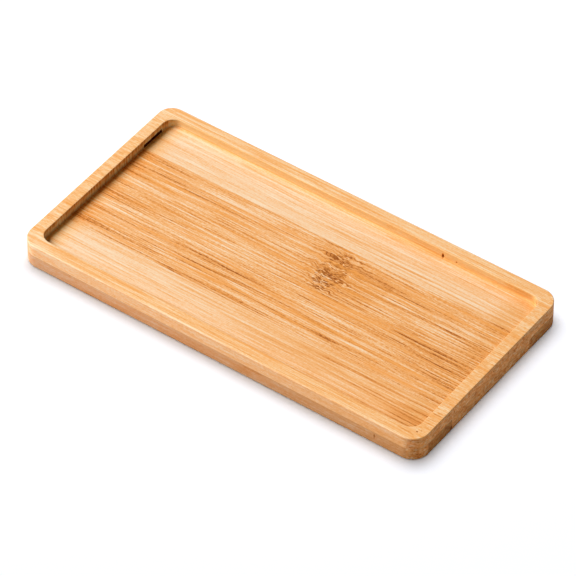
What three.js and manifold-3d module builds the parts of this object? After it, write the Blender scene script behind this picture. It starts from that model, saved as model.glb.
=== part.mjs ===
// A small bamboo vanity tray. Two plies of bamboo strips are glued into a flat board, the board is cut to a
// rectangle with round corners, and a shallow recess is milled into its upper ply, which leaves a narrow rim.
// Millimetres, +Z up. The origin is the middle of the underside, +X runs along the tray with the grain, and
// +Y runs across it from the near long side to the far one.

import * as THREE from 'three';
import { mergeVertices } from 'three/addons/utils/BufferGeometryUtils.js';
import Module from 'manifold-3d';

// The board
const LENGTH = 195;
const WIDTH = 100;
const CORNER_RADIUS = 7.5;
const TOP_ARRIS = 0.6;
const BASE_ARRIS = 1;

// The plies. The upper one is as thick as the recess is deep and what is left of it under the recess.
const LOWER_PLY = 5.8;
const RECESS_DEPTH = 4;
const RECESS_FLOOR = 1.6;
const GLUE = 0.1;

// The strips. Those inside a ply keep their sawn width, and the outer two run out to the trimmed edge.
const STRIP_WIDTH = 25.6;
const LEAST_EDGE_STRIP = 8;
const UPPER_JOINT_SHIFT = 0;
const LOWER_JOINT_SHIFT = -0.8;

// The recess in plan and at its edges
const END_RIM = 5.5;
const SIDE_RIM = 5.7;
const RECESS_CORNER_RADIUS = 5.2;
const RIM_ARRIS = 0.4;
const FLOOR_FILLET = 0.5;

// A natural hollow in the bamboo that the cutter laid open in the recess wall at the -X end
const HOLLOW_LENGTH = 11.8;
const HOLLOW_HEIGHT = 1.25;
const HOLLOW_DEPTH = 3.5;
const HOLLOW_FROM_FLOOR = 0.15;
const HOLLOW_FROM_SIDE = 6.65;

// Facets of a quarter circle, in plan and across an arris or fillet
const PLAN_STEPS = 10;
const EDGE_STEPS = 3;

// Room by which a cutter runs past what it cuts
const OVERRUN = 5;

const UPPER_BASE = LOWER_PLY + GLUE;
const FLOOR = UPPER_BASE + RECESS_FLOOR;
const TOP = FLOOR + RECESS_DEPTH;

// The finish: each strip has its own tone, listed from the near side to the far one.
const BAMBOO = { roughness: 0.55, metalness: 0 };
const RESIN = { roughness: 0.4, metalness: 0 };
const UPPER_TONES = [0xf7c38e, 0xefb078, 0xf0b27a, 0xfacc9c];
const LOWER_TONES = [0xc68f61, 0xd0996a, 0xcf9868, 0xc48c5e];
const GLUE_TONE = 0xc98f56;

const wasm = await Module();
wasm.setup();

/** Turns a closed three.js geometry into a solid that can be joined and cut. */
function toSolid(geometry) {
  const bare = geometry.clone();
  bare.deleteAttribute('normal');
  bare.deleteAttribute('uv');
  const merged = mergeVertices(bare);
  const vertProperties = new Float32Array(merged.attributes.position.array);
  const triVerts = new Uint32Array(merged.index.array);
  return new wasm.Manifold(new wasm.Mesh({ numProp: 3, vertProperties, triVerts }));
}

/** Turns a cut solid back into a three.js geometry. */
function toGeometry(solid) {
  const mesh = solid.getMesh();
  const geometry = new THREE.BufferGeometry();
  geometry.setAttribute('position', new THREE.BufferAttribute(mesh.vertProperties, 3));
  geometry.setIndex(new THREE.BufferAttribute(mesh.triVerts, 1));
  geometry.computeVertexNormals();
  return geometry;
}

/** A block between two opposite corners, whose faces lie exactly on the given values. */
function block(low, high) {
  const geometry = new THREE.BoxGeometry(1, 1, 1);
  const corners = geometry.attributes.position;
  for (let i = 0; i < corners.count; i++) {
    const x = corners.getX(i) < 0 ? low.x : high.x;
    const y = corners.getY(i) < 0 ? low.y : high.y;
    const z = corners.getZ(i) < 0 ? low.z : high.z;
    corners.setXYZ(i, x, y, z);
  }
  return toSolid(geometry);
}

/** Points round a rectangle with round corners, drawn in by inset: the arcs keep their centres. */
function roundedOutline(plan, inset) {
  const radius = plan.radius - inset;
  const centreX = plan.length / 2 - plan.radius;
  const centreY = plan.width / 2 - plan.radius;
  const points = [];
  for (let quarter = 0; quarter < 4; quarter++) {
    const sideX = quarter === 0 || quarter === 3 ? 1 : -1;
    const sideY = quarter < 2 ? 1 : -1;
    for (let step = 0; step <= PLAN_STEPS; step++) {
      const angle = (quarter + step / PLAN_STEPS) * (Math.PI / 2);
      const x = sideX * centreX + radius * Math.cos(angle);
      const y = sideY * centreY + radius * Math.sin(angle);
      points.push({ x, y });
    }
  }
  return points;
}

/** A solid lofted through level outlines of one plan. The profile gives insets and heights, lowest first. */
function loft(plan, profile) {
  const rings = profile.map(({ inset, z }) => roundedOutline(plan, inset).map(({ x, y }) => [x, y, z]));
  const count = rings[0].length;
  const last = (rings.length - 1) * count;
  const faces = [];
  for (let ring = 0; ring < last; ring += count) {
    for (let i = 0; i < count; i++) {
      const next = (i + 1) % count;
      faces.push(ring + i, ring + next, ring + count + next);
      faces.push(ring + i, ring + count + next, ring + count + i);
    }
  }
  for (let i = 1; i < count - 1; i++) {
    faces.push(0, i + 1, i);
    faces.push(last, last + i, last + i + 1);
  }
  const geometry = new THREE.BufferGeometry();
  geometry.setAttribute('position', new THREE.Float32BufferAttribute(rings.flat(2), 3));
  geometry.setIndex(faces);
  return toSolid(geometry);
}

/** Profile points on a quarter circle about a centre, from one angle to another in quarter turns. */
function quarterRound(centre, radius, from, to) {
  const points = [];
  for (let step = 0; step <= EDGE_STEPS; step++) {
    const angle = (from + ((to - from) * step) / EDGE_STEPS) * (Math.PI / 2);
    const inset = centre.inset + radius * Math.cos(angle);
    const z = centre.z + radius * Math.sin(angle);
    points.push({ inset, z });
  }
  return points;
}

/** The whole board before it is milled, with its lower and upper arrises rounded off. */
function makeBoard() {
  const plan = { length: LENGTH, width: WIDTH, radius: CORNER_RADIUS };
  const base = quarterRound({ inset: BASE_ARRIS, z: BASE_ARRIS }, BASE_ARRIS, 3, 2);
  const top = quarterRound({ inset: TOP_ARRIS, z: TOP - TOP_ARRIS }, TOP_ARRIS, 2, 1);
  return loft(plan, [...base, ...top]);
}

/** What the cutter takes out: a floor fillet, an upright wall, and a wall top that flares to ease the rim. */
function makeRecess() {
  const plan = {
    length: LENGTH - 2 * END_RIM,
    width: WIDTH - 2 * SIDE_RIM,
    radius: RECESS_CORNER_RADIUS,
  };
  const fillet = quarterRound({ inset: FLOOR_FILLET, z: FLOOR + FLOOR_FILLET }, FLOOR_FILLET, 3, 2);
  const flare = quarterRound({ inset: -RIM_ARRIS, z: TOP - RIM_ARRIS }, RIM_ARRIS, 0, 1);
  const clear = { inset: -RIM_ARRIS, z: TOP + OVERRUN };
  return loft(plan, [...fillet, ...flare, clear]);
}

/** The hollow: a flat pocket from the end wall of the recess into the rim, set in from the far side wall. */
function makeHollow() {
  const wall = END_RIM - LENGTH / 2;
  const farEnd = WIDTH / 2 - SIDE_RIM - HOLLOW_FROM_SIDE;
  const base = FLOOR + HOLLOW_FROM_FLOOR;
  const low = { x: wall - HOLLOW_DEPTH, y: farEnd - HOLLOW_LENGTH, z: base };
  const high = { x: wall + FLOOR_FILLET, y: farEnd, z: base + HOLLOW_HEIGHT };
  return block(low, high);
}

/** Places across the board where strips meet, one strip width apart, with no thin strip left at an edge. */
function jointPlaces(shift) {
  const reach = WIDTH / 2 - LEAST_EDGE_STRIP;
  const first = Math.ceil((-reach - shift) / STRIP_WIDTH);
  const last = Math.floor((reach - shift) / STRIP_WIDTH);
  const places = [];
  for (let index = first; index <= last; index++) {
    places.push(shift + index * STRIP_WIDTH);
  }
  return places;
}

const milledBoard = makeBoard().subtract(makeRecess()).subtract(makeHollow());
const PAST_END = LENGTH / 2 + OVERRUN;
const PAST_SIDE = WIDTH / 2 + OVERRUN;

/** The part of the milled board between two places across it and two heights, as a named piece. */
function slice(name, across, heights, tone, finish) {
  const low = { x: -PAST_END, y: across[0], z: heights[0] };
  const high = { x: PAST_END, y: across[1], z: heights[1] };
  const geometry = toGeometry(milledBoard.intersect(block(low, high)));
  const mesh = new THREE.Mesh(geometry, new THREE.MeshStandardMaterial({ color: tone, ...finish }));
  mesh.name = name;
  return mesh;
}

/** One ply: strips from the near side to the far one, with a film of glue in each joint between them. */
function makePly(name, heights, shift, tones) {
  const ply = new THREE.Group();
  const joints = jointPlaces(shift);
  const nearEdges = [-PAST_SIDE, ...joints.map((joint) => joint + GLUE / 2)];
  const farEdges = [...joints.map((joint) => joint - GLUE / 2), PAST_SIDE];
  for (let i = 0; i <= joints.length; i++) {
    const across = [nearEdges[i], farEdges[i]];
    ply.add(slice(`${name}_strip_${i + 1}`, across, heights, tones[i % tones.length], BAMBOO));
  }
  for (let i = 0; i < joints.length; i++) {
    const across = [farEdges[i], nearEdges[i + 1]];
    ply.add(slice(`${name}_glue_line_${i + 1}`, across, heights, GLUE_TONE, RESIN));
  }
  return ply;
}

const tray = new THREE.Group();
tray.add(makePly('lower', [-OVERRUN, LOWER_PLY], LOWER_JOINT_SHIFT, LOWER_TONES));
tray.add(slice('ply_glue_film', [-PAST_SIDE, PAST_SIDE], [LOWER_PLY, UPPER_BASE], GLUE_TONE, RESIN));
tray.add(makePly('upper', [UPPER_BASE, TOP + OVERRUN], UPPER_JOINT_SHIFT, UPPER_TONES));

export default tray;
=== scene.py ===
# %% [markdown]
# # A bamboo vanity tray
# The real tray is one board. Two plies of flat bamboo strips are glued side by side and one above the
# other, the board is cut to a rectangle with round corners, and a shallow recess is milled into its
# upper ply. The CAD model gives every strip and glue line its place. This lesson dresses it for a
# picture: each strip is drawn again with finer edges and its natural faults, and gets a bamboo finish
# that is all shader maths.

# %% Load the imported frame
from types import SimpleNamespace

import bmesh
import bpy
import numpy as np
from mathutils import Matrix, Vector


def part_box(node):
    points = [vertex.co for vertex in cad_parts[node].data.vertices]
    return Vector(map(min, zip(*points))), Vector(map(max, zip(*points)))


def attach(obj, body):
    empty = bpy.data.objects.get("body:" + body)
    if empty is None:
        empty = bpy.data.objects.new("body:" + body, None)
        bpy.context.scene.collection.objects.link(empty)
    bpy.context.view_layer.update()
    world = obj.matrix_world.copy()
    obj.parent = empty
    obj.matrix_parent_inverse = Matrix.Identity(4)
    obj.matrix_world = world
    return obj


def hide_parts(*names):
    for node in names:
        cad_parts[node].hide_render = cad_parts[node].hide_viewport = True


MM = 0.001
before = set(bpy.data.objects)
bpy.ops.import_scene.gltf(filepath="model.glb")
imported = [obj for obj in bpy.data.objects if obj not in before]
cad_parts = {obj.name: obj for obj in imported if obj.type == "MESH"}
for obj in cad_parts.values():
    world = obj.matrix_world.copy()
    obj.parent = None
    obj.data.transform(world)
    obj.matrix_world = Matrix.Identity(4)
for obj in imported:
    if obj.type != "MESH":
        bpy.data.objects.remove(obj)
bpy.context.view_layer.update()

# %% [markdown]
# ## The camera
# The photograph was taken from well away with a long lens, so parallel edges stay nearly parallel. The
# angles and the lens below come from fitting a camera to the tray's straight edges. A camera in Blender
# looks along its own -Z axis, so its matrix is built from three unit vectors: right, up, and back
# towards the viewer. A Track To constraint would aim it too, but a matrix needs no second object and
# also serves the lamps.

# %% Camera
PICTURE = 576
SENSOR = 36.0
FOCAL_IN_PIXELS = 4829.0
VIEW_AZIMUTH = 35.853
VIEW_ELEVATION = 44.507
VIEW_DISTANCE = 1.93745
OFF_CENTRE = (0.743, 0.405)
CLIP_END = 20.0


def direction(azimuth, elevation):
    """Unit vector from the tray to a viewer: azimuth turns from -Y to +X, elevation climbs to +Z."""
    turn, climb = np.radians([azimuth, elevation])
    return np.array([np.sin(turn) * np.cos(climb), -np.cos(turn) * np.cos(climb), np.sin(climb)])


def facing(place):
    """Matrix of something at a place whose -Z axis points at the origin and whose X axis stays level."""
    back = place / np.linalg.norm(place)
    right = np.cross([0.0, 0.0, 1.0], back)
    right = right / np.linalg.norm(right)
    matrix = np.eye(4)
    matrix[:3, :3] = np.column_stack([right, np.cross(back, right), back])
    matrix[:3, 3] = place
    return Matrix(matrix.tolist())


camera = bpy.data.objects.new("camera", bpy.data.cameras.new("camera"))
bpy.context.scene.collection.objects.link(camera)
bpy.context.scene.camera = camera
camera.data.sensor_width = SENSOR
camera.data.lens = SENSOR * FOCAL_IN_PIXELS / PICTURE
camera.data.shift_x = -OFF_CENTRE[0] / PICTURE
camera.data.shift_y = OFF_CENTRE[1] / PICTURE
camera.data.clip_end = CLIP_END
camera.matrix_world = facing(VIEW_DISTANCE * direction(VIEW_AZIMUTH, VIEW_ELEVATION))
print("lens in mm:", round(camera.data.lens, 1))

# %% [markdown]
# ## The plan and the section
# Every strip at the edge of the board is one profile carried along a U-shaped path: down one end, round
# a corner, along the side, round the other corner and back up the other end. The path is stored as a
# corner's place and an outward direction, so one array serves every inset. The profile climbs the
# outside, turns over the rim and goes down into the recess. Both are numpy arrays, and their product is
# the surface. A Bevel modifier could round the edges of the CAD solids, but it would leave no even rows
# of points in the walls and the floor, and the natural faults further on need those.

# %% Sizes of the board in millimetres
HALF_LENGTH = 97.5
HALF_WIDTH = 50.0
TOP = 11.5
FLOOR = 7.5
END_RIM = 5.5
SIDE_RIM = 5.7
CORNER = 7.5
FAR_LEFT_CORNER = 6.6
RECESS_CORNER = 5.2
TOP_ARRIS = 0.35
BASE_ARRIS = 0.25
RIM_ARRIS = 0.3
FILLET = 0.5
RECESS_END = HALF_LENGTH - END_RIM
RECESS_SIDE = HALF_WIDTH - SIDE_RIM


def node_box(name):
    """The lowest and highest corner of a CAD node, in millimetres."""
    return np.array(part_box(name)) / MM


UPPER_BASE = node_box("upper_strip_1")[0][2]
LOWER_TOP = node_box("lower_strip_1")[1][2]
print("upper ply from", round(UPPER_BASE, 2), "to", TOP, "and lower ply up to", round(LOWER_TOP, 2))

# %% Steps along the section
SUPPORT = 0.06
SIDE_STEPS = 8
ARRIS_STEPS = 8
BASE_ARRIS_STEPS = 10
RIM_STEPS = 6
RIM_ARRIS_STEPS = 6
WALL_STEPS = 26
FILLET_STEPS = 8
GLUED_PULLS = np.array([0.05, 0.5, 1])
FLOOR_PULLS = np.array([0, 0.004, 0.1, 0.25, 0.5, 0.75, 1])
UNDERSIDE_PULLS = np.array([1, 0.5, 0.1, 0.004, 0])


def ramp(start, stop, steps):
    """Even steps from start to stop, and one more close to each end, which keeps flats flat in shading."""
    gap = SUPPORT * np.sign(stop - start)
    return np.concatenate([[start], np.linspace(start + gap, stop - gap, steps), [stop]])


def quarter(radius, start, stop, steps):
    """Offsets of an arc: the cosine and sine, times the radius, of angles given in degrees."""
    angle = np.radians(np.linspace(start, stop, steps + 1))[1:-1]
    return radius * np.cos(angle), radius * np.sin(angle)


print("points on the top arris:", len(quarter(TOP_ARRIS, 180, 90, ARRIS_STEPS)[0]))


# %% The section as rows
class Rows:
    """Rows of a section: plan (0 board, 1 recess), inset, height, and pull towards the joint line."""

    def __init__(self):
        self.parts = []

    def add(self, plan, inset, height, pull=0.0):
        self.parts.append(np.column_stack(np.broadcast_arrays(plan, inset, height, pull)).astype(float))

    def array(self):
        return np.concatenate(self.parts)


def upper_section():
    """Section of the upper ply: glued face, side, top arris, rim, inner arris, wall, fillet and floor."""
    rows = Rows()
    rows.add(0, 0, UPPER_BASE, GLUED_PULLS[::-1])
    rows.add(0, 0, ramp(UPPER_BASE, TOP - TOP_ARRIS, SIDE_STEPS))
    out, up = quarter(TOP_ARRIS, 180, 90, ARRIS_STEPS)
    rows.add(0, TOP_ARRIS + out, TOP - TOP_ARRIS + up)
    share = ramp(0, 1, RIM_STEPS)
    rows.add(share, TOP_ARRIS * (1 - share) - RIM_ARRIS * share, TOP)
    out, up = quarter(RIM_ARRIS, 90, 0, RIM_ARRIS_STEPS)
    rows.add(1, out - RIM_ARRIS, TOP - RIM_ARRIS + up)
    rows.add(1, 0, ramp(TOP - RIM_ARRIS, FLOOR + FILLET, WALL_STEPS))
    out, up = quarter(FILLET, 180, 270, FILLET_STEPS)
    rows.add(1, FILLET + out, FLOOR + FILLET + up)
    rows.add(1, FILLET, FLOOR, FLOOR_PULLS)
    return rows.array()


def lower_section():
    """Section of the lower ply: underside, base arris, outer side and glued face."""
    rows = Rows()
    rows.add(0, BASE_ARRIS, 0, UNDERSIDE_PULLS)
    out, up = quarter(BASE_ARRIS, 270, 180, BASE_ARRIS_STEPS)
    rows.add(0, BASE_ARRIS + out, BASE_ARRIS + up)
    rows.add(0, 0, ramp(BASE_ARRIS, LOWER_TOP, SIDE_STEPS))
    rows.add(0, 0, LOWER_TOP, GLUED_PULLS)
    return rows.array()


sections = {"upper": upper_section(), "lower": lower_section()}
print("rows of the sections:", {ply: len(section) for ply, section in sections.items()})

# %% The path round a strip at the edge
JOINT_MARGIN = 6.0
CORNER_POINTS = 25


def edge_path(end_steps, side_places):
    """Columns of the U path: place of the corner along X, place along Y, and the outward direction."""
    turn = np.radians(np.linspace(0, 90, CORNER_POINTS))
    go = np.linspace(0, 1, end_steps + 1)[:-1]
    ones = np.ones_like
    parts = [
        (-ones(go), go, -ones(go), 0 * go),
        (-ones(turn), ones(turn), -np.cos(turn), np.sin(turn)),
        (side_places, ones(side_places), 0 * side_places, ones(side_places)),
        (ones(turn), ones(turn), np.sin(turn), np.cos(turn)),
        (ones(go), go[::-1], ones(go), 0 * go),
    ]
    return np.concatenate([np.column_stack(part) for part in parts])


def edge_grid(section, path, joint, corners):
    """Points of a strip at the edge: section rows by path columns, on the joint's side of Y.

    On each plan a point is the corner's centre plus the outward direction times the corner radius less
    the inset. The two plans are mixed by the row's share, and the result is drawn towards the joint line
    by the row's pull.
    """
    side = np.sign(joint)
    along, across, out_x, out_y = path.T
    plan, inset, height, pull = (column[:, None] for column in section.T)
    left_share = (1 - along) / 2
    board_corner = corners[0] * left_share + corners[1] * (1 - left_share)

    def ring(half_length, half_width, radius):
        reach = radius - inset
        x = along * (half_length - radius) + reach * out_x
        y = abs(joint) + across * (half_width - radius - abs(joint)) + reach * out_y
        return x, y

    board_x, board_y = ring(HALF_LENGTH, HALF_WIDTH, board_corner)
    recess_x, recess_y = ring(RECESS_END, RECESS_SIDE, RECESS_CORNER)
    x = board_x + plan * (recess_x - board_x)
    y = board_y + plan * (recess_y - board_y)
    half_line = np.abs(x).max(axis=1, keepdims=True) - JOINT_MARGIN
    line_x = half_line * np.linspace(-1, 1, len(path))
    x = x + pull * (line_x - x)
    y = y + pull * (abs(joint) - y)
    return np.stack([x, side * y, np.broadcast_to(height, x.shape)], axis=-1)


def grid_faces(rows, columns):
    """Quads of a grid whose points are numbered row by row."""
    first = np.arange(rows - 1)[:, None] * columns + np.arange(columns - 1)
    return np.stack([first, first + 1, first + columns + 1, first + columns], axis=-1).reshape(-1, 4)


def rim_of_grid(rows, columns):
    """The loop of points round a grid's border, in order."""
    index = np.arange(rows * columns).reshape(rows, columns)
    return np.concatenate([index[0], index[1:, -1], index[-1, -2::-1], index[-2:0:-1, 0]])


# %% From arrays to a mesh
SHARP = np.radians(38)


def make_piece(name, points, faces):
    """A closed mesh object from points in millimetres, its faces outwards and smooth up to an angle."""
    mesh = bpy.data.meshes.new(name)
    mesh.from_pydata(points.reshape(-1, 3) * MM, [], faces)
    work = bmesh.new()
    work.from_mesh(mesh)
    bmesh.ops.recalc_face_normals(work, faces=work.faces)
    work.to_mesh(mesh)
    work.free()
    mesh.polygons.foreach_set("use_smooth", np.ones(len(mesh.polygons), bool))
    mesh.set_sharp_from_angle(angle=SHARP)
    piece = bpy.data.objects.new(name, mesh)
    bpy.context.scene.collection.objects.link(piece)
    return piece


def edge_piece(name, grid):
    """A strip at the edge: its grid, closed by one flat face in the plane of the joint."""
    rows, columns = grid.shape[:2]
    faces = grid_faces(rows, columns).tolist()
    faces.append(rim_of_grid(rows, columns).tolist())
    return make_piece(name, grid, faces)


# %% Strips inside the board
def end_profile(section):
    """The XZ outline of the left end of a section, without the rows that lie on a joint line."""
    plan, inset, height, _ = section[section[:, 3] == 0].T
    return -(HALF_LENGTH - plan * END_RIM - inset), height


def inner_loop(section, inside):
    """The closed XZ outline of a whole strip: left end, places across the middle, and right end."""
    x, z = end_profile(section)
    middle_z = np.full(len(inside), z[-1])
    return np.concatenate([x, inside, -x[::-1]]), np.concatenate([z, middle_z, z[::-1]])


def inner_grid(loop, places):
    """The closed XZ outline carried straight across, one row for each place along Y."""
    x, y = np.meshgrid(loop[0], places)
    return np.stack([x, y, np.broadcast_to(loop[1], x.shape)], axis=-1)


def inner_piece(name, grid):
    """The carried outline, closed round and at both ends."""
    rows, columns = grid.shape[:2]
    start = np.arange(rows - 1)[:, None] * columns
    first = start + np.arange(columns)
    after = start + (np.arange(columns) + 1) % columns
    faces = np.stack([first, after, after + columns, first + columns], axis=-1).reshape(-1, 4).tolist()
    faces.append(list(range(columns)))
    faces.append(list(range((rows - 1) * columns, rows * columns)))
    return make_piece(name, grid, faces)


print("points on one end of an inner strip:", len(end_profile(sections["upper"])[0]))

# %% [markdown]
# ## Natural faults in the shape
# Three faults of the bamboo are real shape and not only colour. The cutter laid open a flat hollow in
# the end wall of the far strip, and two pinholes in its long wall. On the recess floor a node, where a
# leaf once grew, leaves torn fibres. Booleans could cut the holes, but with hard edges. Here all three
# are smooth masks on the grids, which move points into the wood and leave every strip closed.

# %% Hollow, pinholes and node
HOLLOW_Y = (25.95, 37.65)
HOLLOW_Z = (7.58, 8.97)
HOLLOW_DEPTH = 3.3
HOLLOW_LIP = 0.1
HOLLOW_SLANT = 0.3
HOLLOW_RAG = 0.09
HOLLOW_RAG_PITCH = 3.1
NODE_PLACE = (12.5, 13.0)
NODE_REACH = (6.5, 13.5)
NODE_HEIGHT = 0.09
NODE_SINK = 0.05
NODE_MARGIN = 0.6
NODE_FROM_END = 2.0
# Each pinhole: its place along X, its height, half its width and height, and its depth
PINHOLES = [(44.4, 8.3, 0.36, 0.9, 0.9), (51.0, 8.5, 0.2, 0.4, 0.4)]


def smooth_step(value, low, high):
    """0 below low, 1 above high, and the usual cubic between them."""
    share = np.clip((value - low) / (high - low), 0, 1)
    return share * share * (3 - 2 * share)


def ripple(place, pitch, seed):
    """A wandering wave of about the given pitch, between -1 and 1: three sines of unlike lengths."""
    turn = 2 * np.pi * place / pitch
    return (np.sin(turn + seed) + np.sin(1.73 * turn + 2.1 * seed) + np.sin(2.89 * turn + 3.7 * seed)) / 3


def open_hollow(grid):
    """Pushes the end wall at -X into the rim inside a ragged rectangle."""
    x, y, z = np.moveaxis(grid, -1, 0)
    near, far = HOLLOW_Y
    base, top = HOLLOW_Z
    ragged = HOLLOW_RAG * ripple(y, HOLLOW_RAG_PITCH, 0.4)
    slanted = y + HOLLOW_SLANT * (z - base)
    inside = smooth_step(y, near, near + HOLLOW_LIP)
    inside = inside * (1 - smooth_step(slanted, far, far + HOLLOW_LIP))
    inside = inside * smooth_step(z + ragged, base, base + HOLLOW_LIP)
    inside = inside * (1 - smooth_step(z - ragged, top - HOLLOW_LIP, top))
    wall = (np.abs(x + HALF_LENGTH - END_RIM) < FILLET) & (z < TOP - RIM_ARRIS)
    grid[..., 0] = x - HOLLOW_DEPTH * inside * wall
    return grid


def open_pinholes(grid):
    """Pushes the far wall into the rim at each pinhole, by a bell of its width, height and depth."""
    x, y, z = np.moveaxis(grid, -1, 0)
    wall = (np.abs(y - HALF_WIDTH + SIDE_RIM) < FILLET) & (z < TOP - RIM_ARRIS)
    for place, height, wide, tall, depth in PINHOLES:
        bell = np.exp(-(((x - place) / wide) ** 2) - ((z - height) / tall) ** 2)
        grid[..., 1] += depth * bell * wall
    return grid


def raise_node(grid):
    """Crinkles the floor round the node: short ripples along and across the grain, fading outwards."""
    x, y, z = np.moveaxis(grid, -1, 0)
    far = ((x - NODE_PLACE[0]) / NODE_REACH[0]) ** 2 + ((y - NODE_PLACE[1]) / NODE_REACH[1]) ** 2
    floor = (np.abs(z - FLOOR) < 0.01) & (np.abs(x) < RECESS_END - NODE_FROM_END)
    bent = x + 0.9 * ripple(y, 6.3, 1.7)
    crinkle = ripple(bent, 3.4, 0.6) * ripple(y + 0.5 * ripple(x, 4.1, 2.2), 2.3, 1.1)
    edges = smooth_step(y, y.min(), y.min() + NODE_MARGIN)
    edges = edges * (1 - smooth_step(y, y.max() - NODE_MARGIN, y.max()))
    grid[..., 2] = z + (NODE_HEIGHT * crinkle - NODE_SINK) * np.exp(-far * far) * edges * floor
    return grid


print("hollow, node and pinholes:", 2 + len(PINHOLES))

# %% [markdown]
# ## The strips
# Strips 1 and 4 of each ply lie at the edge and take the U path. Strips 2 and 3 are the XZ profile
# carried straight across. Every strip reads its joint from the CAD node that it replaces, so it cannot
# drift from it. Points lie closer together at the pinholes and the node, where the shape needs them,
# and wider elsewhere.

# %% Where the columns of points lie
SIDE_COLUMNS = 215
PINHOLE_COLUMNS = 19
PINHOLE_SPAN = 1.1
near_places = np.linspace(-1, 1, SIDE_COLUMNS)[1:-1]
half_run = RECESS_END - RECESS_CORNER
around_pinhole = np.linspace(-PINHOLE_SPAN, PINHOLE_SPAN, PINHOLE_COLUMNS)
pinhole_places = np.concatenate([pinhole[0] + around_pinhole for pinhole in PINHOLES]) / half_run
far_places = np.sort(np.concatenate([near_places, pinhole_places]))
floor_places = np.concatenate([
    np.linspace(-91.4, -4, 110),
    np.linspace(-3.6, 30, 113),
    np.linspace(30.5, 91.4, 80),
])
near_path = edge_path(16, near_places)
far_path = edge_path(90, far_places)
print("columns of the paths and the floor:", len(near_path), len(far_path), len(floor_places))

# %% Build the strips of both plies
INNER_ROWS = 8
NODE_ROWS = 90


def edge_strip(name, section, number):
    """Strip 1 lies at the near side and strip 4 at the far one; the upper 4 has the hollow and pinholes."""
    low, high = node_box(name)
    if number == 1:
        grid = edge_grid(section, near_path, high[1], (CORNER, CORNER))
    else:
        grid = edge_grid(section, far_path, low[1], (FAR_LEFT_CORNER, CORNER))
    if name == "upper_strip_4":
        grid = open_pinholes(open_hollow(grid))
    return edge_piece(name + "_bamboo", grid)


def inner_strip(name, section):
    """Strips 2 and 3 are carried across between their joints, and the upper strip 3 has the node."""
    low, high = node_box(name)
    rows = NODE_ROWS if name == "upper_strip_3" else INNER_ROWS
    grid = inner_grid(inner_loop(section, floor_places), np.linspace(low[1], high[1], rows))
    if name == "upper_strip_3":
        grid = raise_node(grid)
    return inner_piece(name + "_bamboo", grid)


strips = {}
for ply, section in sections.items():
    for number in (1, 2, 3, 4):
        name = f"{ply}_strip_{number}"
        if number in (1, 4):
            strips[name] = edge_strip(name, section, number)
        else:
            strips[name] = inner_strip(name, section)
        print(name, "faces:", len(strips[name].data.polygons))

# %% [markdown]
# ## Shader maths
# One class stands for a node's output. Adding or multiplying two of them adds a Math node, so a pattern
# reads like a formula. Everything else, such as a noise or a colour ramp, comes from its one method for
# any node. The same tree could be wired by hand in the shader editor, but hundreds of nodes are easier
# to read as lines.


# %% A socket that takes part in arithmetic
class Value:
    """An output socket of a node tree. Operators on it add Math nodes to that tree."""

    def __init__(self, tree, socket):
        self.tree = tree
        self.socket = socket

    def node(self, kind, settings=None, sockets=None, out=0):
        """Adds a node: its settings are set first, then each socket gets a number, a colour or a link."""
        made = self.tree.nodes.new(kind)
        for key, setting in (settings or {}).items():
            if key == "stops":
                elements = made.color_ramp.elements
                while len(elements) < len(setting):
                    elements.new(0.5)
                for element, (place, colour) in zip(elements, setting):
                    element.position = place
                    element.color = colour
            else:
                setattr(made, key, setting)
        for key, given in (sockets or {}).items():
            if isinstance(given, Value):
                self.tree.links.new(given.socket, made.inputs[key])
            else:
                made.inputs[key].default_value = given
        return Value(self.tree, made.outputs[out])

    def math(self, operation, first, second=0.0):
        return self.node("ShaderNodeMath", {"operation": operation}, {0: first, 1: second})

    def __add__(self, other):
        return self.math("ADD", self, other)

    def __sub__(self, other):
        return self.math("SUBTRACT", self, other)

    def __rsub__(self, other):
        return self.math("SUBTRACT", other, self)

    def __mul__(self, other):
        return self.math("MULTIPLY", self, other)

    def __truediv__(self, other):
        return self.math("DIVIDE", self, other)

    def __abs__(self):
        return self.math("ABSOLUTE", self)

    __radd__ = __add__
    __rmul__ = __mul__

    def step(self, low, high):
        """0 at low, 1 at high, smooth between; low may be the larger."""
        sockets = {"Value": self, "From Min": low, "From Max": high}
        return self.node("ShaderNodeMapRange", {"interpolation_type": "SMOOTHSTEP"}, sockets)


# %% Materials, colours and masks
def new_material(name, gloss):
    """A material, its Principled shader with the given gloss, and a Value to grow its tree from."""
    material = bpy.data.materials.new(name)
    material.use_nodes = True
    tree = material.node_tree
    shader = tree.nodes["Principled BSDF"]
    shader.inputs["Specular IOR Level"].default_value = gloss
    return material, shader, Value(tree, None)


def srgb(red, green, blue):
    """A colour as picked on a screen, from 0 to 255, made linear for the shader."""
    share = np.array([red, green, blue]) / 255
    linear = np.where(share <= 0.04045, share / 12.92, ((share + 0.055) / 1.055) ** 2.4)
    return (*linear.tolist(), 1.0)


def outputs_of(value):
    """Every output of the node that a value comes from."""
    return [Value(value.tree, socket) for socket in value.socket.node.outputs]


def between(value, start, stop, soft):
    """1 from start to stop, falling to 0 over the soft length on both sides."""
    return value.step(start - soft, start) * value.step(stop + soft, stop)


def bulge(place, centre, reach):
    """1 in the middle of an ellipsoid and 0 from its surface on; centre and reach are millimetres."""
    far = 0.0
    for axis, middle, half in zip(place, centre, reach):
        offset = (axis - middle) / half
        far = offset * offset + far
    return far.step(1.0, 0.2)


def blend(value, share, first, second, how="MIX"):
    """A mix of two colours by a share."""
    settings = {"data_type": "RGBA", "blend_type": how}
    return value.node("ShaderNodeMix", settings, {0: share, 6: first, 7: second}, 2)


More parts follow.
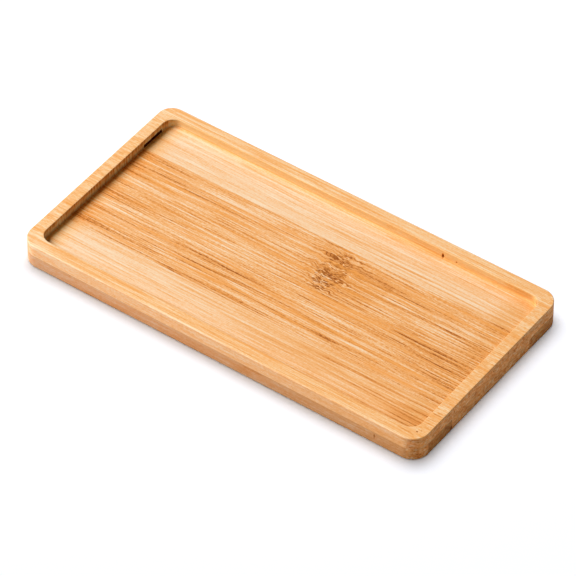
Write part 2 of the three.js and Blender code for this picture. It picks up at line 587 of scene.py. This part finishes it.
# %% [markdown]
# ## Bamboo
# A flat-sawn strip shows long parallel fibres. Its colour is one scale from pale straw to brown, so the
# finish is one number, darkness, sent through a colour ramp. Darkness adds up from the strip's own
# tone, slow bands, long lines, fine fibres and flecks, which are all noises drawn out along X. The
# strongest lines of the real tray are placed one by one. On the end faces the same fibres are cut
# across and show as pores. A photograph of bamboo could be wrapped round each strip, but it would
# stretch at the edges and end at the joints. Noises in space run through the solid as the fibres of the
# real strip do.

# %% Colours of bamboo
STRAW = [
    (0.0, srgb(252, 231, 202)),
    (0.2, srgb(250, 214, 174)),
    (0.35, srgb(249, 196, 141)),
    (0.5, srgb(243, 178, 110)),
    (0.65, srgb(234, 160, 90)),
    (0.8, srgb(216, 138, 67)),
    (1.0, srgb(158, 87, 34)),
]
AMBER = srgb(245, 164, 78)
# Painted shade: dark brown inside the hollow in the far strip's end wall, deeper than its light gives
HOLLOW_SHADE = srgb(112, 34, 14)
WHITE = (1.0, 1.0, 1.0, 1.0)
# Colours that multiply the straw on one kind of face: end grain, walls and floor of the recess, rim, near
# side. Some of them are painted shade, as said at each.
END_TINT = (1.02, 0.87, 0.74, 1.0)
END_SHADE = (0.84, 0.82, 0.81, 1.0)
LEFT_WALL_TINT = (1.0, 1.1, 1.08, 1.0)
LEFT_WALL_SHADE = (0.83, 0.81, 0.77, 1.0)
# Partly the browner end grain, mostly painted shade: the right wall of the recess is made much darker,
# which also dims the light it throws on the floor
RIGHT_WALL_SHADE_TINT = (0.48, 0.36, 0.25, 1.0)
FAR_WALL_TINT = (0.98, 1.0, 0.8, 1.0)
# Painted shadow: the floor beside the left wall of the recess, browner where that wall's shadow falls and
# deepest at its foot
LEFT_FOOT_SHADOW_TINT = (1.0, 0.86, 0.64, 1.0)
LEFT_FOOT_DEEP_SHADOW_TINT = (1.0, 0.97, 0.62, 1.0)
# Painted shade: the floor towards the right wall of the recess, a little darker, against the light that
# wall throws on it
RIGHT_FOOT_SHADE_TINT = (0.94, 0.95, 0.9, 1.0)
RIM_TINT = (1.03, 1.0, 0.9, 1.0)
NEAR_TINT = (1.06, 1.0, 1.0, 1.0)
# Painted shade: the near side of each ply darker towards +X, as the light falls off away from the left
UPPER_SIDE_FALLOFF_SHADE = (0.9, 0.95, 1.06, 1.0)
LOWER_SIDE_FALLOFF_SHADE = (0.85, 0.96, 1.08, 1.0)
LOWER_BROWN = (0.78, 0.685, 0.66, 1.0)
print("stops from straw to brown:", len(STRAW))

# %% Patterns of bamboo
# Each pattern: the length of its grains in millimetres along X, Y and Z, an offset that sets it apart
# from the others, the detail and crispness of its noise, and how much the noise curls.
PATTERNS = {
    "wander": (90.0, 22.0, 9.0, 0.0, 1.0, 0.5, 0.0),
    "slow": (120.0, 6.0, 6.0, 3.1, 1.0, 0.5, 0.0),
    "band": (90.0, 2.4, 2.6, 7.7, 1.0, 0.5, 0.0),
    "line": (60.0, 1.0, 1.0, 13.3, 3.0, 0.7, 0.0),
    "fine": (18.0, 0.46, 0.46, 23.9, 2.0, 0.7, 0.0),
    "fleck": (1.4, 0.5, 0.5, 31.0, 2.0, 0.7, 0.0),
    "stub": (4.0, 1.0, 1.0, 37.0, 2.0, 0.7, 0.0),
    "pore": (3.0, 1.7, 0.8, 41.0, 2.0, 0.7, 0.0),
    "ragged": (6.0, 2.5, 3.0, 47.0, 2.0, 0.5, 0.0),
    "swerve": (5.0, 3.5, 3.0, 51.0, 1.0, 0.5, 0.0),
    "bend": (7.0, 7.0, 4.0, 57.0, 1.0, 0.5, 0.0),
    "crinkle": (2.4, 0.6, 1.5, 61.0, 1.0, 0.6, 0.8),
    "honey": (40.0, 1.5, 2.0, 71.0, 2.0, 0.5, 0.0),
    "stroke": (3.0, 0.9, 6.0, 83.0, 2.0, 0.6, 0.0),
    "mottle": (20.0, 4.5, 2.6, 91.0, 2.0, 0.6, 0.0),
}


def grain(value, name, place, seed):
    """Noise about 0 of a named pattern: each coordinate is divided by the length of a grain along it."""
    along, across, down, offset, detail, crisp, curl = PATTERNS[name]
    x, y, z = place
    shift = seed + offset
    sockets = {"X": x / along, "Y": y / across + shift, "Z": z / down - shift}
    vector = value.node("ShaderNodeCombineXYZ", {}, sockets)
    sockets = {"Vector": vector, "Scale": 1.0, "Detail": detail, "Roughness": crisp, "Distortion": curl}
    return value.node("ShaderNodeTexNoise", {}, sockets) - 0.5


print("patterns:", ", ".join(PATTERNS))

# %% [markdown]
# ### Where on the strip a point lies
# One material covers a whole strip, so it has to know the floor from the rim and the end grain from the
# sides. Separate materials for each face would show seams at the rounded edges. Masks made of the place
# and of the way the surface faces fade from one to the next.

# %% Masks of the faces
# Ways of facing, from where a mask starts to where it is full: along X, along Y or upwards
FACING_RIGHT = (0.2, 0.3)
FACING_LEFT = (-0.3, -0.8)
LEFT_WALL_FACING = (0.3, 0.75)
TURNED = (-0.5, -0.9)
LEVEL = (0.8, 0.98)
# Places in millimetres
RECESS_SPAN = (-RECESS_END - 0.2, RECESS_END + 0.2)
RECESS_HEIGHTS = (FLOOR - 0.2, TOP + 0.1)
FLOOR_HEIGHTS = (7.0, 8.0)
BELOW_ARRIS = (TOP - 0.3, TOP - 0.55)
FAR_WALL_FROM = (40.0, 42.0)
NEAR_SIDE_FROM = (-45.0, -48.0)
RIM_END_FROM = (91.0, 92.5)


def surface_of(value):
    """The shaded point in millimetres, the way it faces, and masks that are 1 on one kind of face."""
    at = SimpleNamespace()
    place = value.node("ShaderNodeTexCoord", out="Object")
    split = value.node("ShaderNodeSeparateXYZ", {}, {"Vector": place})
    at.x, at.y, at.z = at.place = [part * (1 / MM) for part in outputs_of(split)]
    normal = value.node("ShaderNodeTexCoord", out="Normal")
    turned = value.node("ShaderNodeSeparateXYZ", {}, {"Vector": normal})
    at.facing_x, facing_y, at.upwards = outputs_of(turned)
    recess = between(at.z, *RECESS_HEIGHTS, 0.2) * between(at.x, *RECESS_SPAN, 0.1)
    ends = at.facing_x.step(*FACING_RIGHT) + at.facing_x.step(*FACING_LEFT)
    at.end = ends * (1 - recess) * at.z.step(*BELOW_ARRIS)
    at.left_wall = at.facing_x.step(*LEFT_WALL_FACING) * recess
    at.right_wall = at.facing_x.step(*TURNED) * recess
    at.far_wall = facing_y.step(*TURNED) * at.y.step(*FAR_WALL_FROM)
    at.near_side = facing_y.step(*TURNED) * at.y.step(*NEAR_SIDE_FROM)
    at.level = at.upwards.step(*LEVEL)
    at.floor = between(at.z, *FLOOR_HEIGHTS, 0.5) * at.level
    at.rim_end = at.level * (1 - at.floor) * abs(at.x).step(*RIM_END_FROM)
    return at


# %% [markdown]
# ### The node
# The node is a knot of short torn fibres. Strokes that bend and cross would be slow to place one by one. A
# noise with short grains, laid on bent coordinates and cut into dark folds and pale crests, draws them all
# at once, and a ragged mask ends them. The folds are darker partly in the torn fibres' own colour and
# partly by painted shade, and the crests are paler by painted highlight. Round the node the long fibres
# swerve, as they do round any knot.

# %% The torn node
NODE_DEEP = 40.0
NODE_AROUND = (2.2, 1.4)
NODE_RAG = 0.8
NODE_BEND = 5.0
NODE_SWERVE = 5.0
NODE_DUSK = 0.07
TORN_FROM = (0.15, 0.7)
TORN_DARK = 0.08
# Folds are darker, partly the torn fibres' own colour and partly painted shade; crests are paler, a painted
# highlight
FOLD_FROM = (0.0, 0.1)
CREST_FROM = (-0.04, -0.15)
CREST_HIGHLIGHT_SHARE = 0.5
FOLD_DARK = 0.32
FOLD_DARKER = 0.55
FOLD_DARKER_FROM = (12.0, 7.0)
FOLD_RELIEF = 2.5
NO_NODE = SimpleNamespace(swerve=0.0, shade=0.0, relief=0.0)


def torn_node(value, at, look):
    """What a node does inside its ellipse: fibres swerve round it, torn folds are lower and darker, partly
    by painted shade, and crests paler by painted highlight.
    """
    x, y, along, across = look.node
    centre = (x, y, FLOOR)
    wider = (along * NODE_AROUND[0], across * NODE_AROUND[1], NODE_DEEP)
    core = bulge(at.place, centre, (along, across, NODE_DEEP)) * at.floor
    around = bulge(at.place, centre, wider) * at.floor
    ragged = grain(value, "ragged", at.place, look.seed) * NODE_RAG
    torn = (core + ragged).step(*TORN_FROM) * at.floor
    bent = at.y + grain(value, "bend", at.place, look.seed) * NODE_BEND
    crinkle = grain(value, "crinkle", (at.x, bent, at.z), look.seed)
    fold = crinkle.step(*FOLD_FROM) - crinkle.step(*CREST_FROM) * CREST_HIGHLIGHT_SHARE
    fold_tone_and_shade = FOLD_DARK + at.y.step(*FOLD_DARKER_FROM) * FOLD_DARKER
    return SimpleNamespace(
        swerve=around * grain(value, "swerve", at.place, look.seed) * NODE_SWERVE,
        shade=around * NODE_DUSK + torn * (fold * fold_tone_and_shade + TORN_DARK),
        relief=torn * fold * FOLD_RELIEF,
    )


# %% [markdown]
# ### Darkness and colour
# Fibres come first, then the streaks, patches and marks listed for each strip, and both are added up to one
# darkness. Its weights are tuned against the photograph, strip by strip. The tints that follow stand for
# what one ramp can't give: end grain is browner; the walls of the recess lie in each other's shade, and
# that shade is painted on the right wall and on the floor beside both end walls; and the near side fades
# along its length, a painted shade of the light falling off away from the left.

# %% Fibres
WANDER = 2.0
ALONG_FIBRES = ("slow", "band", "line", "fine", "stub", "honey")
IN_PLACE = ("fleck", "pore", "stroke", "mottle")


def add_fibres(value, at, look, node):
    """Gives the surface its patterns; those along the grain follow fibres that wander and swerve."""
    wander = grain(value, "wander", at.place, look.seed) * WANDER
    at.fibre_y = at.y + wander + node.swerve
    for name in ALONG_FIBRES:
        setattr(at, name, grain(value, name, (at.x, at.fibre_y, at.z), look.seed))
    for name in IN_PLACE:
        setattr(at, name, grain(value, name, at.place, look.seed))


# %% Streaks, patches and marks
STREAK_EDGE = 1.4
STREAK_FADE = 6.0
STREAK_DARK = 0.54
STREAK_FIBRES = 0.5
PATCH_FADE = 1.0


def drawn_darkness(at, look):
    """The streaks, patches and marks that a strip has of its own, added up."""
    streaks = 0.0
    for across, start, stop, wide, strength in look.streaks:
        inside = abs(at.fibre_y - across).step(wide * STREAK_EDGE, 0.0)
        streaks = inside * between(at.x, start, stop, STREAK_FADE) * strength + streaks
    dark = streaks * at.floor * (STREAK_DARK + at.fine * STREAK_FIBRES)
    for x_start, x_stop, y_start, y_stop, soft, strength in look.patches:
        inside = between(at.x, x_start, x_stop, soft) * between(at.fibre_y, y_start, y_stop, PATCH_FADE)
        dark = dark + inside * at.floor * strength
    for *centre, along, across, down, strength in look.marks:
        dark = dark + bulge(at.place, centre, (along, across, down)) * strength
    return dark


# %% Darkness of the bamboo
FIBRE_WEIGHTS = {"slow": 0.15, "band": 0.1, "line": 2.1, "fine": 1.75, "fleck": 1.3}
RIM_CONTRAST = 0.47
UPRIGHT_SHARE = 0.5
# Darkness gained in each millimetre towards +X, painted shade for the light falling off from left to right;
# the far wall takes some of it back
UPRIGHT_FALLOFF_SHADE = 0.001
LEVEL_FALLOFF_SHADE = 0.0003
FAR_WALL_DRIFT = -0.0005
FAR_WALL_DARK = -0.01
NEAR_DARK = 0.015
NEAR_STUBS = 0.45
NEAR_FLECKS = 0.35
RIM_END_STUBS = 0.8
RIM_END_LINES = -0.6
PORES = 1.5
RIGHT_PORES = 0.6
LEFT_WALL_TONE = 0.3
LEFT_WALL_TOP = (9.1, 10.8)
LEFT_WALL_TOP_DARK = 0.33
LEFT_STROKES = 1.4
RIGHT_STROKES = 1.5
PALE = (0.38, 0.16)
PALE_LIFT = 0.16
PALE_CONTRAST = 0.45


def darkness(at, look, node):
    """Darkness from 0 to 1: tone, drift along X that is partly painted shade, fibres, end grain, walls and
    the strip's own marks.
    """
    lively = RIM_CONTRAST * (UPRIGHT_SHARE + at.level * (1 - UPRIGHT_SHARE))
    lively = lively + at.floor * (look.contrast - RIM_CONTRAST)
    fibres = sum(getattr(at, name) * weight for name, weight in FIBRE_WEIGHTS.items())
    # A strip's drift darkens its floor towards +X: partly its own tone, partly painted shade of the light
    # falling off
    dark = look.rim_tone + at.floor * (look.tone - look.rim_tone + at.x * look.drift)
    # Painted shade: every face darker towards +X, the upright faces more than the level ones
    dark = dark + at.x * (UPRIGHT_FALLOFF_SHADE + at.level * (LEVEL_FALLOFF_SHADE - UPRIGHT_FALLOFF_SHADE))
    dark = dark + at.far_wall * (at.x * FAR_WALL_DRIFT + FAR_WALL_DARK)
    dark = dark + fibres * lively
    dark = dark + at.pore * at.end * (PORES + at.facing_x * RIGHT_PORES)
    higher = at.z.step(*LEFT_WALL_TOP) * LEFT_WALL_TOP_DARK
    dark = dark + at.left_wall * (at.stroke * LEFT_STROKES + higher + (LEFT_WALL_TONE - look.rim_tone))
    dark = dark + at.right_wall * at.stroke * RIGHT_STROKES
    dark = dark + at.rim_end * (at.stub * RIM_END_STUBS + at.line * RIM_END_LINES)
    dark = dark + at.near_side * (at.stub * NEAR_STUBS + at.fleck * NEAR_FLECKS + NEAR_DARK)
    dark = dark + drawn_darkness(at, look) + node.shade
    lift = max(0.0, look.contrast - PALE_CONTRAST) * PALE_LIFT
    return dark + at.floor * dark.step(*PALE) * lift


# %% Colour of the bamboo
HONEY_FROM = (-0.02, 0.2)
UPRIGHT_HONEY = 0.28
LEVEL_HONEY = 0.17
FLOOR_HONEY = -1.09
FLOOR_HONEY_BY_CONTRAST = 1.6
MOTTLE_FROM = (-0.1, 0.1)
STROKE_FROM = (-0.06, 0.1)
RIM_FACING = (0.3, 0.8)
# Where the painted shadow beside the left wall starts and is full, and where it deepens
LEFT_FOOT_SHADOW_FROM = (-80.5, -89.0)
LEFT_FOOT_DEEP_SHADOW_FROM = (-88.8, -91.0)
# Where the painted shade towards the right wall starts and is full
RIGHT_FOOT_SHADE_FROM = (76.0, 90.0)
# Where the painted falloff on the near side starts and is full
SIDE_FALLOFF_FROM = (-70.0, 95.0)
# Box of the painted shade inside the hollow
HOLLOW_SHADE_X = (-96.0, -91.9)
HOLLOW_SHADE_Y = (25.8, 37.9)
HOLLOW_SHADE_Z = (7.4, 8.93)


def bamboo_colour(value, at, look, dark):
    """The straw ramp at a darkness, warmed by amber fibres, then multiplied by the tint of each face, some
    of it painted shade, with painted shade filling the hollow.
    """
    colour = value.node("ShaderNodeValToRGB", {"stops": STRAW}, {"Fac": dark})
    warm = UPRIGHT_HONEY + at.level * LEVEL_HONEY
    warm = warm + at.floor * (look.contrast * FLOOR_HONEY_BY_CONTRAST + FLOOR_HONEY)
    colour = blend(value, at.honey.step(*HONEY_FROM) * warm, colour, AMBER)
    tints = [
        (at.end, END_TINT),
        (at.end * at.mottle.step(*MOTTLE_FROM), END_SHADE),
        (at.end * between(at.y, *look.end_span, 1.5), look.end_tint),
        (at.left_wall, LEFT_WALL_TINT),
        (at.left_wall * at.stroke.step(*STROKE_FROM), LEFT_WALL_SHADE),
        # Browner end grain and painted shade on the right wall
        (at.right_wall, RIGHT_WALL_SHADE_TINT),
        (at.far_wall, FAR_WALL_TINT),
        # Painted shadow on the floor beside the left wall
        (at.floor * at.x.step(*LEFT_FOOT_SHADOW_FROM), LEFT_FOOT_SHADOW_TINT),
        (at.floor * at.x.step(*LEFT_FOOT_DEEP_SHADOW_FROM), LEFT_FOOT_DEEP_SHADOW_TINT),
        # Painted shade on the floor towards the right wall
        (at.floor * at.x.step(*RIGHT_FOOT_SHADE_FROM), RIGHT_FOOT_SHADE_TINT),
        (at.upwards.step(*RIM_FACING) * (1 - at.floor), RIM_TINT),
        (at.near_side, NEAR_TINT),
        # Painted shade along the near side, darker towards +X
        (at.near_side * at.x.step(*SIDE_FALLOFF_FROM), look.fade),
        (1 - at.end, look.tint),
    ]
    for share, tint in tints:
        colour = blend(value, share, colour, tint, "MULTIPLY")
    # Painted shade fills the hollow in the left end wall
    shaded_hollow = between(at.x, *HOLLOW_SHADE_X, 0.1) * between(at.y, *HOLLOW_SHADE_Y, 0.2)
    return blend(value, shaded_hollow * between(at.z, *HOLLOW_SHADE_Z, 0.05), colour, HOLLOW_SHADE)


# %% The bamboo finish
BAMBOO_GLOSS = 0.12
BAMBOO_ROUGHNESS = 0.55
FIBRE_ROUGHNESS = 0.1
END_ROUGHNESS = 0.12
RELIEF_WEIGHTS = {"line": 0.5, "fine": 0.6, "fleck": 0.3}
CUT_RELIEF = 0.9
BUMP_STRENGTH = 0.3
BUMP_DISTANCE = 0.0001


def bamboo(name, look):
    """Material of one strip: colour from its darkness; its fibres also change roughness and bump."""
    material, shader, value = new_material(name, BAMBOO_GLOSS)
    at = surface_of(value)
    node = torn_node(value, at, look) if look.node else NO_NODE
    add_fibres(value, at, look, node)
    colour = bamboo_colour(value, at, look, darkness(at, look, node))
    relief = sum(getattr(at, key) * weight for key, weight in RELIEF_WEIGHTS.items()) - node.relief
    relief = relief + (at.pore * at.end + at.stroke * at.left_wall) * CUT_RELIEF
    sockets = {"Height": relief, "Strength": BUMP_STRENGTH, "Distance": BUMP_DISTANCE}
    bump = value.node("ShaderNodeBump", {}, sockets)
    rough = BAMBOO_ROUGHNESS + (at.line + at.fine) * FIBRE_ROUGHNESS + at.end * END_ROUGHNESS
    value.tree.links.new(colour.socket, shader.inputs["Base Color"])
    value.tree.links.new(rough.socket, shader.inputs["Roughness"])
    value.tree.links.new(bump.socket, shader.inputs["Normal"])
    return material


# %% [markdown]
# ## What each strip looks like
# A strip is a dictionary: its tone, how lively its fibres are, and what is peculiar to it. A streak is a
# place across the tray, where it starts and stops, half its width, and how much darker it is. A patch is a
# range of X and Y, how softly it ends, and its strength. A mark is an ellipsoid, its centre, its reach and
# its strength: a pinhole, a crack, a speck, painted shade in the crease at the foot of a wall, or a painted
# highlight along an edge. All of them are placed one by one.

# %% Upper strips
looks = {}
looks["upper_strip_1"] = dict(
    tone=0.35, drift=0.0013, rim_tone=0.35, contrast=0.42, seed=11.0,
    streaks=[
        (-28.8, 0, 45, 0.5, 0.25), (-28.5, 40, 92, 0.6, 0.4), (-30.3, 60, 92, 0.4, 0.22),
        (-33.4, 8, 40, 0.4, 0.16), (-33.3, 62, 80, 0.4, 0.3), (-32.3, 78, 92, 0.5, 0.36),
        (-34.8, 58, 92, 0.4, 0.28), (-35.3, -5, 35, 0.4, 0.14), (-36.4, 76, 92, 0.6, 0.26),
        (-38.6, 78, 92, 0.5, 0.32), (-40.4, 60, 92, 0.6, 0.24), (-28.9, -90, -60, 0.5, 0.12),
        (-34.0, -90, -20, 0.5, 0.1), (-40.2, -78, -20, 0.5, 0.14),
    ],
    patches=[(82.0, 93.0, -43.0, -31.0, 8.0, 0.08)],
    marks=[
        # Both marks on this line are painted highlight: the near top edge paler along its length, more on
        # its left half
        (0.0, -49.7, 11.5, 400.0, 0.75, 0.7, -0.06), (-40.0, -49.7, 11.5, 75.0, 0.9, 0.8, -0.1),
        (-92.0, -46.5, 11.5, 10.0, 5.0, 3.0, -0.14), (93.2, -44.4, 11.5, 0.6, 0.5, 1.0, 0.6),
        (94.4, -43.1, 11.5, 0.4, 0.35, 1.0, 0.4), (94.8, -32.7, 11.5, 2.8, 0.42, 1.0, 0.4),
        (95.4, -31.3, 11.5, 2.0, 0.35, 1.0, 0.3), (94.6, -36.0, 11.5, 2.4, 0.35, 1.0, 0.22),
        (94.3, -38.4, 11.5, 2.2, 0.35, 1.0, 0.22), (89.5, -46.4, 11.5, 5.0, 0.42, 1.0, 0.3),
    ],
)
looks["upper_strip_2"] = dict(
    tone=0.46, drift=0.0005, rim_tone=0.36, contrast=0.83, seed=27.0,
    streaks=[
        (-1.9, -70, -30, 0.5, 0.35), (-2.4, -86, -72, 0.35, 0.25), (-3.9, -84, -55, 0.35, 0.2),
        (-6.4, -34, 12, 0.5, 0.4), (-5.9, -66, -40, 0.4, 0.2), (-8.8, -30, -5, 0.4, 0.25),
        (-10.7, -46, -5, 0.5, 0.4), (-11.9, -36, 0, 1.1, 0.22), (-13.2, -92, -45, 0.45, 0.35),
        (-15.8, -28, 34, 0.45, 0.36), (-17.8, -40, -20, 0.5, 0.26), (-19.5, -82, -52, 0.4, 0.36),
        (-21.4, -92, -20, 0.45, 0.38), (-20.1, -30, 35, 1.1, 0.2), (-24.5, -76, -40, 0.45, 0.28),
        (-23.8, -26, 38, 0.6, 0.24), (-0.9, 55, 92, 0.6, 0.35), (-1.5, 0, 25, 0.7, 0.25),
        (-4.9, 22, 60, 0.4, 0.26), (-8.2, 38, 68, 0.6, 0.22), (-10.6, 12, 70, 0.45, 0.36),
        (-11.2, 64, 92, 0.55, 0.4), (-13.6, 76, 92, 0.8, 0.3), (-12.8, 8, 40, 0.45, 0.18),
        (-15.6, 50, 78, 0.5, 0.28), (-19.3, 28, 62, 0.45, 0.32),
    ],
)
looks["upper_strip_3"] = dict(
    tone=0.43, drift=-0.0003, rim_tone=0.36, contrast=0.78, seed=43.0,
    streaks=[
        (24.2, -62, -27, 0.5, 0.36), (20.0, -84, -62, 0.5, 0.22), (19.2, -56, -25, 0.4, 0.2),
        (15.9, -62, -20, 0.7, 0.34), (15.5, -92, -60, 0.5, 0.24), (11.6, -92, -68, 0.45, 0.34),
        (9.2, -88, -70, 0.4, 0.26), (10.3, -42, -30, 0.35, 0.22), (7.3, -62, -4, 0.5, 0.34),
        (5.6, -78, -45, 0.45, 0.24), (2.0, -80, -42, 0.45, 0.26), (2.6, -36, -14, 0.5, 0.2),
        (24.7, 2, 40, 0.45, 0.34), (23.9, 52, 92, 0.5, 0.3), (20.5, 18, 40, 0.45, 0.2),
        (16.9, 38, 58, 0.5, 0.34), (16.3, 56, 92, 0.55, 0.2), (12.8, 38, 56, 0.4, 0.2),
        (11.1, 46, 76, 0.4, 0.34), (10.7, 72, 92, 0.5, 0.4), (7.8, 20, 50, 0.6, 0.26),
        (8.4, 19, 34, 0.5, 0.3), (6.6, 55, 92, 0.5, 0.26), (4.4, 56, 92, 0.5, 0.28),
        (2.5, 55, 92, 0.45, 0.22),
    ],
    patches=[
        (15.0, 38.4, 11.5, 18.2, 0.6, 0.11), (16.0, 30.0, 19.8, 24.4, 7.0, 0.04),
        (-2.0, 12.0, 15.0, 24.6, 4.0, 0.08), (17.0, 34.0, 1.0, 9.0, 5.0, 0.12),
        (84.0, 93.0, 1.0, 25.0, 8.0, 0.11),
    ],
    node=(12.8, 12.4, 7.5, 14.5),
)
looks["upper_strip_4"] = dict(
    tone=0.26, drift=0.0003, rim_tone=0.31, contrast=0.42, seed=58.0,
    streaks=[
        (34.0, -92, -66, 0.6, 0.22), (32.1, -67, -60, 0.4, 0.2), (28.8, -84, -72, 0.4, 0.18),
        (29.4, -14, 2, 0.5, 0.2), (30.6, -32, -8, 0.6, 0.1), (32.5, 0, 26, 0.6, 0.16),
        (30.0, 6, 46, 0.6, 0.18), (38.5, 60, 78, 0.4, 0.2), (41.8, -50, -14, 0.8, 0.2),
        (41.8, 22, 75, 0.9, 0.34),
    ],
    # The first patch is painted light: the floor along the far wall made more orange, the colour that lit
    # wall throws on it
    patches=[(-92.0, 92.0, 43.3, 46.0, 1.0, 0.05), (84.0, 93.0, 26.5, 43.0, 9.0, 0.12)],
    marks=[
        (44.4, 45.2, 8.7, 0.8, 2.4, 1.9, 0.5), (51.0, 44.9, 8.6, 0.5, 1.2, 0.9, 0.25),
        (38.0, 44.3, 8.4, 12.0, 0.6, 0.5, 0.18), (81.0, 44.3, 9.9, 8.0, 1.0, 2.2, 0.15),
        # The first mark on this line is painted shade: a dark line in the crease at the foot of the far
        # wall
        (0.0, 44.0, 7.6, 400.0, 0.7, 0.6, 0.1), (19.0, 44.3, 10.0, 3.0, 1.0, 1.6, 0.08),
        (60.0, 44.3, 9.4, 5.0, 1.0, 1.0, 0.06), (-92.2, 40.6, 9.6, 1.2, 3.6, 2.2, 0.3),
    ],
)
print("streaks drawn by hand:", sum(len(look["streaks"]) for look in looks.values()))

# %% Lower strips
LOWER_TONE = 0.36
INNER_END_TINT = (0.93, 0.94, 0.91, 1.0)
looks["lower_strip_1"] = dict(
    rim_tone=LOWER_TONE, seed=71.0, tint=LOWER_BROWN, fade=LOWER_SIDE_FALLOFF_SHADE,
    end_tint=(0.61, 0.55, 0.38, 1.0), end_span=(-42.0, -20.0),
    marks=[
        (95.9, -47.1, 2.4, 1.8, 1.8, 2.2, 0.25), (77.0, -50.0, 3.6, 0.4, 2.0, 1.8, 0.45),
        (18.0, -50.0, 5.2, 7.0, 2.0, 0.8, 0.25), (13.0, -50.0, 2.6, 7.0, 2.0, 1.8, 0.14),
        (97.5, -26.8, 0.8, 2.0, 0.8, 1.9, 0.5),
    ],
)
looks["lower_strip_2"] = dict(rim_tone=LOWER_TONE, seed=83.0, tint=LOWER_BROWN, end_tint=INNER_END_TINT)
looks["lower_strip_3"] = dict(rim_tone=LOWER_TONE, seed=97.0, tint=LOWER_BROWN, end_tint=INNER_END_TINT)
looks["lower_strip_4"] = dict(
    rim_tone=LOWER_TONE, seed=103.0, tint=LOWER_BROWN,
    end_tint=(0.66, 0.6, 0.46, 1.0), end_span=(28.5, 60.0),
)
print("strips described:", len(looks))

# %% Give every strip its finish
# What a strip has unless its own look says otherwise; the span of its end tint then covers the whole
# width
PLAIN_LOOK = dict(
    tone=LOWER_TONE, drift=0.0, contrast=RIM_CONTRAST, streaks=(), patches=(), marks=(), node=None,
    tint=WHITE, end_tint=WHITE, end_span=(-60.0, 60.0), fade=UPPER_SIDE_FALLOFF_SHADE,
)
for name, piece in strips.items():
    look = SimpleNamespace(**{**PLAIN_LOOK, **looks[name]})
    piece.data.materials.append(bamboo(name + "_finish", look))
    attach(piece, "root")
    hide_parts(name)
print("finished strips:", len(strips))

# %% [markdown]
# ## Glue
# The cured resin shows only as hairlines between strips, a little darker and glossier than the wood.
# The CAD films already have the right shape, so they stay and only get a finish. It is a slow cloud of
# two resin tones.

# %% The resin finish
RESIN_GLOSS = 0.15
RESIN_CLOUD = {"Scale": 180.0, "Detail": 3.0}
RESIN = [(0.3, srgb(232, 172, 108)), (0.7, srgb(214, 150, 88))]
resin, shader, value = new_material("resin_film", RESIN_GLOSS)
place = value.node("ShaderNodeTexCoord", out="Object")
cloud = value.node("ShaderNodeTexNoise", {}, {"Vector": place, **RESIN_CLOUD})
tone = value.node("ShaderNodeValToRGB", {"stops": RESIN}, {"Fac": cloud})
rough = 0.5 + cloud * 0.2
value.tree.links.new(tone.socket, shader.inputs["Base Color"])
value.tree.links.new(rough.socket, shader.inputs["Roughness"])
films = [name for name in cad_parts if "glue" in name]
for name in films:
    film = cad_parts[name]
    film.data.materials.clear()
    film.data.materials.append(resin)
print("glue films:", len(films))

# %% [markdown]
# ## Floor and light
# The photograph has a white sweep. A broad soft light high on the left, towards the viewer, shapes the
# tray, and white paper under it throws much of that light back at its sides. The shadow on the paper is
# softer and falls another way than that light alone would throw it, as in a room with several lights.
# One lamp could not give both, so light linking sends the first lamp to all but the floor, and a second
# one to the floor alone. The paper has one colour for the light that it throws back and a whiter one
# for the camera.

# %% Floor
FLOOR_SIZE = 4.0
FLOOR_DROP = 0.00002
PAPER = (0.76, 0.93, 1.0, 1.0)
PAPER_SEEN = (0.965, 1.235, 1.57, 1.0)
SEEN_BY = ("Is Camera Ray", "Is Glossy Ray", "Is Transmission Ray")
floor_mesh = bpy.data.meshes.new("white_floor")
corners = FLOOR_SIZE * np.array([[-1, -1, 0], [1, -1, 0], [1, 1, 0], [-1, 1, 0]])
floor_mesh.from_pydata(corners - [0, 0, FLOOR_DROP], [], [[0, 1, 2, 3]])
floor = bpy.data.objects.new("white_floor", floor_mesh)
bpy.context.scene.collection.objects.link(floor)
paper, shader, value = new_material("white_paper", 0.0)
rays = value.node("ShaderNodeLightPath").socket.node.outputs
seen = sum(Value(value.tree, rays[key]) for key in SEEN_BY)
colour = blend(value, seen, PAPER, PAPER_SEEN)
value.tree.links.new(colour.socket, shader.inputs["Base Color"])
shader.inputs["Roughness"].default_value = 0.9
floor_mesh.materials.append(paper)
print("floor laid, half its size in m:", FLOOR_SIZE)

# %% Lamps and world
WHITE_LIGHT = (1.0, 1.0, 1.0)
WARM_LIGHT = (1.25, 1.0, 0.85)
ROOM = (1.0, 0.78, 0.5, 1.0)
ROOM_STRENGTH = 0.078


def soft_box(name, azimuth, elevation, distance, size, energy, colour, on_floor):
    """A square area lamp that faces the tray, and lights either the floor alone or all but the floor."""
    lamp = bpy.data.lights.new(name, "AREA")
    lamp.shape = "SQUARE"
    lamp.size = size
    lamp.energy = energy
    lamp.color = colour
    holder = bpy.data.objects.new(name, lamp)
    bpy.context.scene.collection.objects.link(holder)
    holder.matrix_world = facing(distance * direction(azimuth, elevation))
    lit = bpy.data.collections.new(name + "_lit")
    lit.objects.link(floor)
    lit.collection_objects[0].light_linking.link_state = "INCLUDE" if on_floor else "EXCLUDE"
    holder.light_linking.receiver_collection = lit


soft_box("key_light", azimuth=-60.0, elevation=46.5, distance=4.5, size=2.7, energy=283.0,
         colour=WHITE_LIGHT, on_floor=False)
soft_box("ground_light", azimuth=-134.0, elevation=74.8, distance=3.0, size=2.75, energy=93.0,
         colour=WARM_LIGHT, on_floor=True)
world = bpy.data.worlds.new("studio")
bpy.context.scene.world = world
world.use_nodes = True
background = world.node_tree.nodes["Background"]
background.inputs["Color"].default_value = ROOM
background.inputs["Strength"].default_value = ROOM_STRENGTH
bpy.context.scene.view_settings.view_transform = "Standard"
print("lamps:", [lamp.name for lamp in bpy.data.lights])
